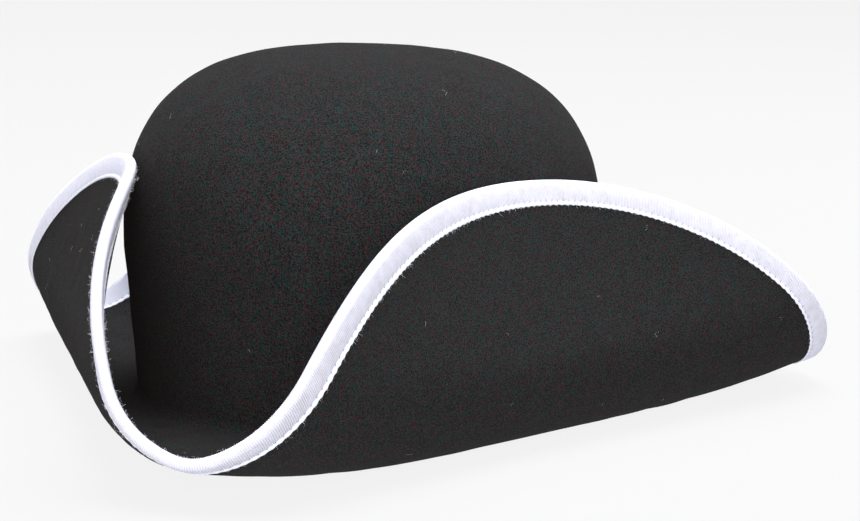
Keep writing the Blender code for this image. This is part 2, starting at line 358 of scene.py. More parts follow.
def tubes(name, centres, radii, sides, material):
    """Closed tubes, one for each row of centres, of shape (tubes, points, 3). Each point has a radius."""
    count, length, _ = centres.shape
    along = np.gradient(centres, axis=1)
    along /= np.linalg.norm(along, axis=2, keepdims=True)
    helper = np.where(np.abs(along[:, :1, 2:]) > 0.8, [[[1.0, 0, 0]]], [[[0, 0, 1.0]]])
    side = np.cross(along, helper)
    side /= np.linalg.norm(side, axis=2, keepdims=True)
    other = np.cross(along, side)
    turns = np.linspace(0, 2 * np.pi, sides, endpoint=False)
    circle = [side * np.cos(a) + other * np.sin(a) for a in turns]
    points = centres[:, :, None, :] + np.stack(circle, axis=2) * np.asarray(radii)[..., :, None, None]
    one = ring_faces(length, sides)
    one += [list(range(sides))[::-1], [(length - 1) * sides + i for i in range(sides)]]
    faces = [[i + t * length * sides for i in face] for t in range(count) for face in one]
    return new_piece(name, points.reshape(-1, 3), faces, material)


def move_along_normals(piece, amount):
    """Moves each vertex out by its own amount."""
    data = piece.data
    points = np.empty(len(data.vertices) * 3, dtype=np.float32)
    data.vertices.foreach_get("co", points)
    normals = np.empty_like(points)
    data.vertex_normals.foreach_get("vector", normals)
    data.vertices.foreach_set("co", points + normals * np.repeat(amount, 3))
    data.update()


def local_points(piece):
    """A piece's vertices in the hat's coordinates."""
    points = np.empty(len(piece.data.vertices) * 3, dtype=np.float32)
    piece.data.vertices.foreach_get("co", points)
    return points.reshape(-1, 3) - HAT_ORIGIN


# ---- Materials ----


class Surface:
    """A material made of nodes round one Principled shader."""

    def __init__(self, name, **sockets):
        self.material = bpy.data.materials.new(name)
        self.material.use_nodes = True
        self.tree = self.material.node_tree
        self.shader = self.tree.nodes["Principled BSDF"]
        for socket, value in sockets.items():
            self.shader.inputs[socket.replace("_", " ")].default_value = value
        self.place = self.add("ShaderNodeTexCoord").outputs["Object"]

    def add(self, kind, inputs=None, **settings):
        node = self.tree.nodes.new(kind)
        for key, value in settings.items():
            setattr(node, key, value)
        for socket, value in (inputs or {}).items():
            if isinstance(value, bpy.types.NodeSocket):
                self.tree.links.new(value, node.inputs[socket])
            else:
                node.inputs[socket].default_value = value
        return node

    def noise(self, scale, detail=2.0, roughness=0.5, place=None):
        inputs = {"Vector": place or self.place, "Scale": scale, "Detail": detail, "Roughness": roughness}
        return self.add("ShaderNodeTexNoise", inputs).outputs["Fac"]

    def ramp(self, value, *stops):
        """A colour ramp with stops of (position, grey or colour)."""
        node = self.add("ShaderNodeValToRGB", {"Fac": value})
        while len(node.color_ramp.elements) < len(stops):
            node.color_ramp.elements.new(0.5)
        for element, (position, colour) in zip(node.color_ramp.elements, stops):
            element.position = position
            element.color = (*colour, 1.0) if isinstance(colour, tuple) else (colour, colour, colour, 1.0)
        return node.outputs["Color"]

    def math(self, operation, *values, clamp=False):
        inputs = dict(enumerate(values))
        return self.add("ShaderNodeMath", inputs, operation=operation, use_clamp=clamp).outputs[0]

    def mix(self, share, first, second, blend="MIX"):
        inputs = {0: share, 6: first, 7: second}
        for key in (6, 7):
            if isinstance(inputs[key], tuple):
                inputs[key] = (*inputs[key], 1.0)
        return self.add("ShaderNodeMix", inputs, data_type="RGBA", blend_type=blend).outputs[2]

    def bump(self, height, distance, strength=1.0, under=None):
        inputs = {"Height": height, "Distance": distance, "Strength": strength}
        if under:
            inputs["Normal"] = under
        return self.add("ShaderNodeBump", inputs).outputs["Normal"]

    def link(self, socket, output):
        self.tree.links.new(output, self.shader.inputs[socket])


def felt_material():
    """Matted black wool: fine flecks of lighter and darker fibre, softly uneven, without gloss."""
    felt = Surface(
        "felt",
        Roughness=1.0,
        Specular_IOR_Level=0.02,
        Sheen_Weight=0.012,
        Sheen_Roughness=0.6,
        Sheen_Tint=(0.75, 0.72, 0.72, 1.0),
        # Painted light: a faint warm glow in the felt lifts its darkest shade.
        Emission_Color=(1.0, 0.80, 0.80, 1.0),
        Emission_Strength=FELT_PAINTED_GLOW,
    )
    fibres_seen = felt.noise(1900, detail=2.0, roughness=0.6)
    tone = felt.ramp(fibres_seen, (0.42, FELT_TONE * 0.35), (0.58, FELT_TONE * 1.80))
    dyed = felt.ramp(felt.noise(1650, detail=1.0), (0.46, 0.0), (0.54, 1.0))
    hue = felt.mix(dyed, (0.25, 1.32, 1.28), (1.72, 0.64, 0.73))
    patchy = felt.ramp(felt.noise(140, detail=3.0), (0.35, 0.88), (0.65, 1.0))
    felt.link("Base Color", felt.mix(1.0, felt.mix(1.0, tone, hue, "MULTIPLY"), patchy, "MULTIPLY"))
    fine = felt.bump(felt.noise(2200, detail=3.0, roughness=0.7), 0.0002, 0.7)
    felt.link("Normal", felt.bump(felt.noise(600, detail=2.0), 0.0003, 0.5, under=fine))
    return felt.material


def ribbon_material():
    """White grosgrain: painted taupe shade in the grooves between the ribs, and fine warp threads that run
    along it. A highlight is painted on the puffed ridge, and shade in the needle holes.
    """
    ribbon = Surface(
        "white_ribbon",
        Roughness=0.75,
        Specular_IOR_Level=0.3,
        Sheen_Weight=0.1,
        Sheen_Roughness=0.4,
    )
    weave = ribbon.add("ShaderNodeAttribute", attribute_name="weave")
    parts = ribbon.add("ShaderNodeSeparateXYZ", {"Vector": weave.outputs["Vector"]})
    across, groove, ridge_and_holes = parts.outputs
    warp = ribbon.math("SINE", ribbon.math("MULTIPLY", across, 2 * np.pi / 0.00032))
    cotton = ribbon.noise(3000, detail=2.0)
    cloth = ribbon.ramp(cotton, (0.3, (0.60, 0.62, 0.76)), (0.7, (0.70, 0.72, 0.86)))
    deep = ribbon.math("MULTIPLY", groove, ribbon.ramp(ribbon.noise(260), (0.3, 0.35), (0.75, 1.0)))
    # The painted shade in the grooves is stronger on the underside, where across is above zero, than on the
    # top.
    underside_shade_share = ribbon.math("ADD", 0.62, ribbon.math("MULTIPLY", ribbon.math("GREATER_THAN", across, 0.0), 0.25))
    # Painted shade: taupe is mixed into the grooves between the ribs, more on the underside.
    shaded = ribbon.mix(ribbon.math("MULTIPLY", deep, underside_shade_share), cloth, (0.36, 0.31, 0.29))
    # Painted highlight: the puffed ridge is made whiter.
    painted_ridge_highlight = ribbon.mix(ribbon.math("MULTIPLY", ridge_and_holes, 0.6, clamp=True), shaded, (0.80, 0.82, 0.88))
    # Painted shade: the needle holes are made dark blue-grey.
    painted_hole_shade = ribbon.math("MULTIPLY", ridge_and_holes, -1.0, clamp=True)
    ribbon.link("Base Color", ribbon.mix(painted_hole_shade, painted_ridge_highlight, (0.12, 0.14, 0.24)))
    threads = ribbon.math("ADD", ribbon.math("MULTIPLY", warp, 0.5), cotton)
    ribs = ribbon.bump(ribbon.math("SUBTRACT", 1.0, groove), RIB_DEPTH, 1.0)
    ribbon.link("Normal", ribbon.bump(threads, 0.00005, 0.6, under=ribs))
    return ribbon.material


def thread_material(name, dark, light):
    """Twisted sewing thread."""
    thread = Surface(name, Roughness=0.6, Specular_IOR_Level=0.4, Sheen_Weight=0.2)
    strands = thread.noise(5200, detail=2.0)
    thread.link("Base Color", thread.ramp(strands, (0.3, dark), (0.7, light)))
    thread.link("Normal", thread.bump(strands, 0.00006, 0.8))
    return thread.material


def leather_material():
    """Dark imitation leather with a pebbled grain."""
    leather = Surface("sweatband_leather", Specular_IOR_Level=0.5)
    pebbles = {"Vector": leather.place, "Scale": 900.0}
    cells = leather.add("ShaderNodeTexVoronoi", pebbles, feature="DISTANCE_TO_EDGE")
    creases = leather.ramp(cells.outputs["Distance"], (0.02, 0.0), (0.22, 1.0))
    cloudy = leather.noise(70, detail=3.0)
    tone = leather.ramp(cloudy, (0.3, (0.016, 0.012, 0.010)), (0.7, (0.036, 0.027, 0.022)))
    leather.link("Base Color", leather.mix(creases, (0.009, 0.007, 0.006), tone))
    leather.link("Roughness", leather.ramp(leather.noise(240), (0.3, 0.42), (0.7, 0.62)))
    leather.link("Normal", leather.bump(creases, 0.00012, 0.8))
    return leather.material


def satin_material():
    """Black satin ribbon of the bow."""
    satin = Surface("black_ribbon", Specular_IOR_Level=0.6, Sheen_Weight=0.3, Sheen_Roughness=0.3)
    stretched = satin.add("ShaderNodeMapping", {"Vector": satin.place, "Scale": (1.0, 1.0, 12.0)}).outputs[0]
    threads = satin.noise(900, detail=2.0, place=stretched)
    satin.link("Base Color", satin.ramp(threads, (0.3, (0.010, 0.010, 0.012)), (0.7, (0.026, 0.026, 0.030))))
    satin.link("Roughness", satin.ramp(threads, (0.3, 0.34), (0.7, 0.5)))
    satin.link("Normal", satin.bump(threads, 0.00005, 0.7))
    return satin.material


def label_material():
    """Off-white woven cloth of the blank size label."""
    label = Surface("label_cloth", Roughness=0.85)
    wave = {"Vector": label.place, "Scale": 420.0, "Distortion": 0.6, "Detail": 1.0}
    upright = label.add("ShaderNodeTexWave", wave, bands_direction="X").outputs["Fac"]
    level = label.add("ShaderNodeTexWave", wave, bands_direction="Z").outputs["Fac"]
    weave = label.math("MULTIPLY", upright, level)
    label.link("Base Color", label.ramp(weave, (0.0, (0.55, 0.52, 0.46)), (0.6, (0.80, 0.77, 0.71))))
    label.link("Normal", label.bump(weave, 0.00008, 0.8))
    return label.material


def wire_material():
    """Drawn steel wire, slightly dulled."""
    wire = Surface("steel_wire", Metallic=1.0)
    dull = wire.noise(700, detail=3.0)
    wire.link("Base Color", wire.ramp(dull, (0.3, (0.42, 0.42, 0.43)), (0.7, (0.60, 0.60, 0.61))))
    wire.link("Roughness", wire.ramp(dull, (0.3, 0.30), (0.7, 0.48)))
    wire.link("Normal", wire.bump(dull, 0.00003, 0.5))
    return wire.material


def floor_material():
    """Matt pale backdrop paper."""
    paper = Surface(
        "backdrop_paper",
        Roughness=0.9,
        Specular_IOR_Level=0.1,
        Emission_Color=(1.0, 1.0, 1.0, 1.0),
        Emission_Strength=FLOOR_GLOW,
    )
    grain = paper.noise(60, detail=3.0)
    paper.link("Base Color", paper.ramp(grain, (0.3, FLOOR_TONE * 0.97), (0.7, FLOOR_TONE * 1.03)))
    paper.link("Normal", paper.bump(paper.noise(900), 0.0001, 0.2))
    return paper.material


# ---- Felt crown and brim ----


def felt_angles():
    """Angles of the felt's columns, closer together at the three points."""
    even = np.linspace(0, 2 * np.pi, FELT_COLUMNS, endpoint=False)
    return even - POINT_CROWDING * np.sin(3 * even) / 3


def bend(wall, sheet, outward, radius):
    """Rings of a smooth bend from a ring of the wall, which runs down, to a ring of the brim's sheet."""
    pull = 0.55 * radius
    below = wall - [0, 0, pull]
    inward = sheet - outward * pull
    rings = []
    for t in np.linspace(0, 1, BREAK_ROWS + 1):
        weights = [(1 - t) ** 3, 3 * t * (1 - t) ** 2, 3 * t * t * (1 - t), t**3]
        rings.append(sum(w * p for w, p in zip(weights, (wall, below, inward, sheet))))
    return rings


def break_rings(angles):
    """The bends between crown and brim, on the upper side and on the underside."""
    upper_point, upper_out, upper_up = brim_frame(angles, BREAK / brim_width(angles))
    upper = bend(crown_ring(angles, FELT + BREAK), upper_point + upper_up * FELT / 2, upper_out, BREAK)
    under_share = (UNDER_BREAK - FELT) / brim_width(angles)
    under_point, under_out, under_up = brim_frame(angles, under_share)
    foot = crown_ring(angles, UNDER_BREAK, inset=FELT)
    under = bend(foot, under_point - under_up * FELT / 2, under_out, UNDER_BREAK)
    return upper, under


def crown_heights(foot):
    """Heights from a foot to the top, close together where the shoulder turns."""
    shares = 1 - np.linspace(0, 1, 59)[1:-1] ** 2
    rises = (1 - shares**SHOULDER_RUN) ** (1 / SHOULDER_RISE)
    shoulder = WALL_HEIGHT + (CROWN_HEIGHT - WALL_HEIGHT) * rises
    return [*np.linspace(foot, WALL_HEIGHT, 20), *shoulder]


def make_crown(material, rng):
    angles = felt_angles()
    upper, under = break_rings(angles)
    middle = BREAK_ROWS // 2
    outside = [crown_ring(angles, h) for h in crown_heights(FELT + BREAK)]
    inside = []
    for h in crown_heights(UNDER_BREAK):
        ring = crown_ring(angles, h, inset=FELT)
        ring[:, 2] -= FELT * (h - UNDER_BREAK) / (CROWN_HEIGHT - UNDER_BREAK)
        inside.append(ring)
    rings = outside[::-1] + upper[1 : middle + 1] + under[middle:0:-1] + inside
    top = np.array([CROWN_LEAN * CROWN_HEIGHT, 0, CROWN_HEIGHT])
    crown = domed("crown_felt", rings, top, top - [0, 0, FELT], material)
    points = local_points(crown)
    fade = smooth_step(points[:, 2], 0.006, 0.020)
    move_along_normals(crown, FELT_WAVE * fade * soft_waves(points, rng, *FELT_WAVE_LENGTHS))
    return crown


def felt_press(inset):
    """How far the ribbon's stitching presses the felt at a distance in from the edge."""
    return STITCH_PRESS * bump_at(inset, STITCH_INSET, 0.0012)


def make_brim(material, rng):
    angles = felt_angles()
    width = brim_width(angles)
    insets = [(width - BREAK) * (1 - share) + 0.0103 * share for share in np.linspace(0, 1, 52)[1:]]
    insets += [np.full_like(width, inset) for inset in np.arange(0.0097, 0.0043, -0.0006)]
    insets += [np.full_like(width, inset) for inset in (0.003, 0.0015, 0.0006)]
    upper = [brim_ring(angles, inset, FELT / 2 - felt_press(inset)) for inset in insets]
    under = [brim_ring(angles, inset, -FELT / 2 + felt_press(inset)) for inset in insets]
    rounding = 0.0006
    turns = np.radians([60, 25, -25, -60])
    straight = FELT / 2 - rounding
    edge = [
        edge_ring(angles, np.cos(a) * rounding - rounding, np.sin(a) * rounding + np.sign(a) * straight)
        for a in turns
    ]
    bend_upper, bend_under = break_rings(angles)
    middle = BREAK_ROWS // 2
    rings = bend_upper[middle:] + upper + edge + under[::-1] + bend_under[:middle - 1:-1]
    brim = hoop("brim_felt", rings, material)
    points = local_points(brim)
    inset_rows = [width - BREAK / 2] * (BREAK_ROWS - middle + 1) + insets + [np.zeros_like(width)] * 4
    inset_rows += insets[::-1] + [width] * (BREAK_ROWS - middle + 1)
    inset_at = np.concatenate(inset_rows)
    from_crown = np.tile(width, len(inset_rows)) - inset_at
    fade = smooth_step(inset_at, 0.011, 0.024) * smooth_step(from_crown, 0.006, 0.020)
    move_along_normals(brim, FELT_WAVE * fade * soft_waves(points, rng, *FELT_WAVE_LENGTHS))
    return brim


# ---- Ribbon round the edge ----


def ribbon_rows():
    """(inset from the edge, angle round the fold) for each row of the ribbon's outer face."""
    insets = [TAPE_SHOWN, 0.0082, RIDGE, 0.0074, STITCH_INSET, 0.0066, 0.0056, 0.0036, 0.0018, 0.0]
    turns = np.radians([-60, -30, 0, 30, 60])
    lower = [(inset, -np.pi / 2) for inset in insets]
    fold = [(0.0, a) for a in turns]
    return lower + fold + [(inset, np.pi / 2) for inset in insets[::-1]]


def stitch_count():
    return round(EDGE.length / (RIB_PITCH * RIBS_PER_STITCH))


def ribbon_runs():
    """Distances along the edge of the ribbon's stations, and how much of a groove is at each."""
    step = EDGE.length / (stitch_count() * RIBS_PER_STITCH * 2)
    stations = np.arange(round((EDGE.length + LAP) / step) + 1)
    return stations * step, (stations % 2).astype(float)


def ribbon_lift(runs):
    """How far the ribbon's lapped end rides up over its start, to a fold at its very end."""
    over = smooth_step(runs, EDGE.length - 0.006, EDGE.length)
    end = runs[-1]
    fold = smooth_step(runs, end - 0.006, end - 0.005)
    turned = 1 - smooth_step(runs, end - 0.0008, end + 0.0008)
    return LAP_RISE * over + 0.0003 * fold * turned


def fold_padding(inset):
    """How much thicker the ribbon's fold is at a distance in from the edge."""
    return FOLD_PADDING * (1 - smooth_step(inset, 0.003, 0.0066))


def stitch_phase(runs):
    """0 at a needle hole and 0.5 halfway to the next."""
    return (runs * stitch_count() / EDGE.length) % 1.0


def make_ribbon(material):
    """The folded ribbon. Its weave attribute holds the inset (below zero above), the groove, and a mark that
    is above zero on the ridge, where a highlight is painted, and below zero at the needle holes, where shade
    is painted.
    """
    runs, groove = ribbon_runs()
    angles = EDGE.angle_at(runs + EDGE.back + LAP_TURN)
    lift = ribbon_lift(runs)
    hole = bump_at(np.minimum(stitch_phase(runs), 1 - stitch_phase(runs)), 0.0, 0.11)
    bulge = 0.5 - 0.5 * np.cos(2 * np.pi * stitch_phase(runs))
    rows, weave = [], []
    for inset, turn in ribbon_rows():
        at_stitch = bump_at(inset, STITCH_INSET, 0.00035)
        at_ridge = bump_at(inset, RIDGE, RIDGE_HALF_WIDTH)
        ribbed = 1 - 0.85 * smooth_step(inset, STITCH_INSET - 0.0006, STITCH_INSET + 0.0003)
        outer = FELT / 2 + RIBBON_GAP + RIBBON + lift - felt_press(inset) - RIB_DEPTH * ribbed * groove
        outer = outer + fold_padding(inset) + RIDGE_HEIGHT * at_ridge * (0.7 + 0.3 * bulge)
        outer = outer - at_stitch * (0.00012 + STITCH_DIMPLE * hole)
        at_border = float(inset == TAPE_SHOWN)
        outer = outer - 0.00018 * at_border
        reach = inset + SCALLOP * (bulge - 0.5) * smooth_step(inset, STITCH_INSET, TAPE_SHOWN)
        if abs(turn) == np.pi / 2:
            rows.append(brim_ring(angles, reach, outer * np.sign(turn)))
        else:
            rows.append(edge_ring(angles, outer * np.cos(turn), outer * np.sin(turn)))
        across = np.full_like(runs, inset if turn < 0 else -inset)
        # Marks for the painted highlight on the ridge and the painted shade in the needle holes.
        ridge_and_hole_marks = at_ridge - 1.3 * hole * at_stitch
        weave.append(np.stack([across, groove * ribbed, ridge_and_hole_marks], axis=-1))
    inner_insets = [0.0079, STITCH_INSET, 0.0045]
    for inset, side in [(i, 1) for i in inner_insets] + [(i, -1) for i in inner_insets[::-1]]:
        inner = FELT / 2 + RIBBON_GAP + lift - felt_press(inset) + fold_padding(inset)
        rows.append(brim_ring(angles, np.full_like(runs, inset), inner * side))
        weave.append(np.zeros((len(runs), 3)))
    # Between its two sides the inner face has one more row, past the felt's edge.
    rows.insert(-3, edge_ring(angles, FELT / 2 + RIBBON_GAP + lift + FOLD_PADDING, np.zeros_like(runs)))
    weave.insert(-3, np.zeros((len(runs), 3)))
    grid = np.stack(rows)
    faces = strip_faces(len(rows), len(runs))
    ribbon = new_piece("binding_ribbon", grid.reshape(-1, 3), faces, material, sharp=75)
    attribute = ribbon.data.attributes.new("weave", "FLOAT_VECTOR", "POINT")
    attribute.data.foreach_set("vector", np.stack(weave).reshape(-1).astype(np.float32))
    return ribbon


def make_stitches(name, side, material):
    """The stitches on one face of the ribbon: each a short arc of thread between two needle holes."""
    count = stitch_count()
    share = np.linspace(0.09, 0.91, 7)
    runs = (np.arange(count)[:, None] + share) * EDGE.length / count + EDGE.back + LAP_TURN
    angles = EDGE.angle_at(runs.reshape(-1))
    past_start = (runs.reshape(-1) - EDGE.back - LAP_TURN) % EDGE.length
    over_lap = smooth_step(past_start, LAP + 0.003, LAP - 0.003)
    arch = np.tile(np.sin(np.linspace(0.15, np.pi - 0.15, len(share))), count)
    height = FELT / 2 + RIBBON_GAP + RIBBON - STITCH_PRESS - THREAD_SINK + THREAD_ARCH * arch
    height = height + LAP_RISE * over_lap
    point, _, up = brim_frame(angles, 1 - STITCH_INSET / brim_width(angles))
    centres = (point + up * (height * side)[:, None]).reshape(count, len(share), 3)
    radii = THREAD_RADIUS * np.array([0.5, 0.9, 1.0, 1.0, 1.0, 0.9, 0.5])
    return tubes(name, centres, radii, 6, material)


def make_edge_wire(material):
    """The wire in the ribbon's fold, a closed round hoop."""
    angles = EDGE.angle_at(np.linspace(0, EDGE.length, 700, endpoint=False))
    point, outward, up = brim_frame(angles, np.ones_like(angles))
    centre = point + outward * WIRE_BEYOND_EDGE
    turns = np.linspace(0, 2 * np.pi, 10, endpoint=False)
    rings = [centre + WIRE_RADIUS * (outward * np.cos(a) + up * np.sin(a)) for a in turns]
    return hoop("edge_wire_steel", rings, material)


# ---- Fibres ----


def scatter(piece, count, rng):
    """Random points on a piece, spread evenly over its area, with their normals, in the hat's coordinates."""
    data = piece.data
    areas = np.empty(len(data.polygons))
    data.polygons.foreach_get("area", areas)
    middles = np.empty(len(data.polygons) * 3)
    data.polygons.foreach_get("center", middles)
    normals = np.empty(len(data.polygons) * 3)
    data.polygons.foreach_get("normal", normals)
    chosen = rng.choice(len(areas), size=count, p=areas / areas.sum())
    spread = np.sqrt(areas[chosen])[:, None]
    points = middles.reshape(-1, 3)[chosen] - HAT_ORIGIN
    normals = normals.reshape(-1, 3)[chosen]
    sideways = np.cross(normals, rng.normal(size=(count, 3)))
    return points + sideways * spread * 0.3, normals


def fibres(name, roots, normals, leans, lengths, radius, material, curl=None):
    """Fine curved hairs that rise from a surface, lean over and taper. None goes below the table."""
    t = np.linspace(0, 1, 5)[None, :, None]
    reach = lengths[:, None, None]
    rise = normals[:, None, :] * np.sin(t * 2.2) * 0.38
    centres = roots[:, None, :] + reach * (rise + leans[:, None, :] * t) - normals[:, None, :] * 0.00008
    if curl is not None:
        centres = centres + reach * curl[:, None, :] * np.sin(t * 3.6) * t
    centres[..., 2] = np.maximum(centres[..., 2], 2 * radius)
    return tubes(name, centres, radius * np.array([1.0, 1.0, 0.9, 0.7, 0.3]), 3, material)


def unit(vectors):
    return vectors / np.linalg.norm(vectors, axis=-1, keepdims=True)


def make_felt_fuzz(piece, name, count, rng, material):
    """Short hairs that stand off the felt all over."""
    points, normals = scatter(piece, count, rng)
    leans = unit(np.cross(normals, rng.normal(size=(count, 3)))) * 0.8
    lengths = rng.uniform(0.0005, 0.0016, count)
    return fibres(name, points, normals, leans, lengths, HAIR_RADIUS, material)


def make_ribbon_lint(rng, material):
    """Loose white fibres off the ribbon's fold, and out over the felt from its two borders."""
    count = LINT_COUNT
    side = rng.choice([-1.0, 1.0], count)
    angles = EDGE.angle_at(rng.uniform(0, EDGE.length, count))
    from_fold = rng.random(count) < 0.7
    inset = np.where(from_fold, rng.uniform(0.0, 0.003, count), TAPE_SHOWN - 0.0003)
    point, outward, up = brim_frame(angles, 1 - inset / brim_width(angles))
    skin = FELT / 2 + RIBBON + fold_padding(inset) - 0.0001
    roots = point + up * (side * skin)[:, None]
    along = np.cross(outward, up)
    away = np.where(from_fold, rng.uniform(0.0, 0.5, count), -1.0)[:, None] * outward
    rise = up * (side * np.where(from_fold, 2.2, 1.0))[:, None]
    leans = away + along * rng.normal(scale=0.6, size=(count, 1))
    lengths = np.minimum(rng.lognormal(np.log(0.0009), 0.4, count), 0.0024)
    curl = along * rng.normal(scale=0.35, size=(count, 1))
    return fibres("ribbon_lint", roots, rise, leans, lengths, LINT_RADIUS, material, curl)


def make_stray_hairs(crown, brim, rng, material):
    """A few longer curled grey fibres caught in the nap of the felt."""
    found = [scatter(crown, CROWN_STRAYS, rng), scatter(brim, BRIM_STRAYS, rng)]
    points, normals = (np.concatenate(parts) for parts in zip(*found))
    leans = unit(np.cross(normals, rng.normal(size=normals.shape)))
    curl = np.cross(normals, leans) * rng.normal(scale=0.45, size=(len(points), 1))
    lengths = rng.uniform(0.0015, 0.0040, len(points))
    return fibres("stray_hairs", points, normals * 0.5, leans * 0.8, lengths, HAIR_RADIUS, material, curl)


# ---- Inside the crown ----


def band_length():
    """Length of the strip that the sweatband is made of, to the millimetre."""
    points = crown_ring(np.linspace(0, 2 * np.pi, 721), 0.017, FELT + SWEATBAND)
    return round(float(np.linalg.norm(np.diff(points, axis=0), axis=1).sum()), 3)


def make_sweatband(material):
    """A strip of imitation leather with a rounded top edge and an embossed line below it."""
    low, high = (corner[2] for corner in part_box("sweatband"))
    angles = np.linspace(0, 2 * np.pi, 720, endpoint=False)
    outside = FELT + SWEATBAND_GAP
    inside = outside + SWEATBAND
    wander = 0.00025 * np.sin(angles * 9 + 1.0) + 0.0002 * np.sin(angles * 23)
    join = 0.0005 * bump_at(angles, np.pi, 0.006)  # the groove where its two ends meet, at the back
    rows = []
    for share in np.linspace(0, 1, 26):
        height = low + (high - low) * share
        emboss = 0.00022 * bump_at(height, high - 0.004, 0.0006) + join
        sewn = 0.00028 * bump_at(height, SWEATBAND_STITCH_HEIGHT, 0.0008)
        free = SWEATBAND_FREE * share**2 + wander * share**2
        rounding = 0.00035 * (bump_at(share, 0.0, 0.02) + bump_at(share, 1.0, 0.02))
        rows.append(crown_ring(angles, height, inside + free - emboss - sewn - rounding))
    for share in np.linspace(1, 0, 9):
        height = low + (high - low) * share
        free = SWEATBAND_FREE * share**2 + wander * share**2
        rows.append(crown_ring(angles, height, outside + free))
    return hoop("sweatband_strip", rows, material, sharp=60)


def make_sweatband_stitches(material):
    """Stitches that hold the band to the felt."""
    count = SWEATBAND_STITCHES
    share = np.linspace(0.1, 0.9, 6)
    angles = ((np.arange(count)[:, None] + share) * 2 * np.pi / count).reshape(-1)
    arch = np.tile(np.sin(np.linspace(0.2, np.pi - 0.2, len(share))), count)
    inset = FELT + SWEATBAND_GAP + SWEATBAND - 0.0002 + 0.0003 * arch
    centres = crown_ring(angles, SWEATBAND_STITCH_HEIGHT, inset).reshape(count, len(share), 3)
    radii = 0.0002 * np.array([0.5, 0.9, 1, 1, 0.9, 0.5])
    return tubes("sweatband_stitches", centres, radii, 6, material)


def on_band(x, height, off):
    """Points at the back of the hat, off the sweatband's inner face."""
    share = crown_share(height)
    inset = FELT + SWEATBAND_GAP + SWEATBAND_FREE + SWEATBAND
    half_width = CROWN_HALF_WIDTH * share - inset
    half_length = CROWN_HALF_LENGTH * share - inset
    y = half_length * np.sqrt(1 - ((x - CROWN_LEAN * height) / half_width) ** 2)
    return np.stack([x + 0 * height, y - off, height + 0 * x], axis=-1)


def strip_on_band(name, path, rows, thickness, height_at, off_at, material):
    """A thin closed strip along a path of (x, off) stations.

    height_at and off_at give each row, at a level from -1 to 1, its height and how much further off it lies.
    """
    step = np.gradient(path, axis=0)
    step /= np.linalg.norm(step, axis=1, keepdims=True)
    across = np.stack([-step[:, 1], step[:, 0]], axis=1)
    rings = []
    for side in (0.5, -0.5):
        x, off = (path + across * thickness * side).T
        levels = np.linspace(-1, 1, rows) if side > 0 else np.linspace(1, -1, rows)
        rings += [on_band(x, height_at(x, u), off + off_at(x, u)) for u in levels]
    faces = strip_faces(len(rings), len(path))
    return new_piece(name, np.concatenate(rings), faces, material, sharp=60)


def make_bow(material):
    """Two flattened loops of ribbon, gathered in pleats under a knot."""
    low, high = (np.array(corner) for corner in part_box("sweatband_bow"))
    reach = high[0]
    middle = (low[2] + high[2]) / 2
    half_height = (high[2] - low[2]) / 2

    def height_at(x, level):
        spread = np.interp(np.abs(x) / reach, [0.0, 0.12, 0.5, 0.85, 1.0], [0.36, 0.40, 0.80, 1.0, 0.90])
        return middle + half_height * level * spread

    def pleats(x, level):
        return 0.00022 * np.cos(level * 8.0) * (1 - smooth_step(np.abs(x) / reach, 0.1, 0.7))

    loops = []
    turn = np.linspace(0.06, np.pi - 0.06, 41)
    for side, name in ((1, "bow_loop_left"), (-1, "bow_loop_right")):
        x = reach * (0.02 + 0.97 * np.sin(turn) ** 0.75)
        bulge = 0.00045 + 0.0006 * np.sin(np.pi * np.clip(x / reach, 0, 1) ** 1.2)
        path = np.stack([side * x, 0.0013 - bulge * np.cos(turn)], axis=1)
        loops.append(strip_on_band(name, path, 13, 0.00025, height_at, pleats, material))
    turn = np.linspace(0, 2 * np.pi, 49)[:-1]
    knot_off = 0.0016  # the knot's middle off the band
    rings = []
    for level in np.linspace(-0.62, 0.62, 15):
        waist = 1 - 0.12 * np.cos(level * 5)
        x = 0.0019 * waist * np.sign(np.cos(turn)) * np.abs(np.cos(turn)) ** 0.6
        depth = 0.0015 * np.sign(np.sin(turn)) * np.abs(np.sin(turn)) ** 0.6 + 0.00012 * np.cos(x * 5200)
        round_end = np.sqrt(1 - (level / 0.66) ** 4)
        height = np.full_like(x, middle + half_height * level)
        rings.append(on_band(x * round_end, height, knot_off + depth * round_end))
    tip_heights = [np.float64(middle + half_height * level) for level in (-0.64, 0.64)]
    tips = [on_band(np.float64(0), height, knot_off) for height in tip_heights]
    return [*loops, domed("bow_knot", rings, *tips, material)]


def make_size_tab(material):
    """A blank woven label, stitched along its top edge, whose lower edge lifts a little."""
    low, high = (np.array(corner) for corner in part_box("size_tab"))
    middle = (low[2] + high[2]) / 2
    half_height = (high[2] - low[2]) / 2
    x = np.linspace(low[0] + 0.0002, high[0] - 0.0002, 33)
    path = np.stack([x, np.full_like(x, 0.0004)], axis=1)

    def height_at(x, level):
        return middle + half_height * level * 0.98 + 0 * x

    def lifted(x, level):
        wave = 0.00008 * np.sin(x * 1900 + level)
        return 0.0009 * ((1 - level) / 2) ** 3 + wave

    return strip_on_band("size_label", path, 21, 0.00035, height_at, lifted, material)


def make_tab_stitches(material):
    """A row of small stitches along the label's top edge."""
    low, high = (np.array(corner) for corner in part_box("size_tab"))
    starts = np.linspace(low[0] + 0.0010, high[0] - 0.0026, 6)
    share = np.linspace(0, 1, 7)
    x = starts[:, None] + 0.0016 * share
    off = 0.00045 + 0.0003 * np.sin(np.pi * share) + 0 * x
    centres = on_band(x, np.full_like(x, high[2] - 0.0012), off)
    radii = 0.00012 * np.array([0.6, 0.9, 1, 1, 1, 0.9, 0.6])
    return tubes("size_label_stitches", centres, radii, 6, material)


# ---- Tacks between the turn-ups and the crown ----


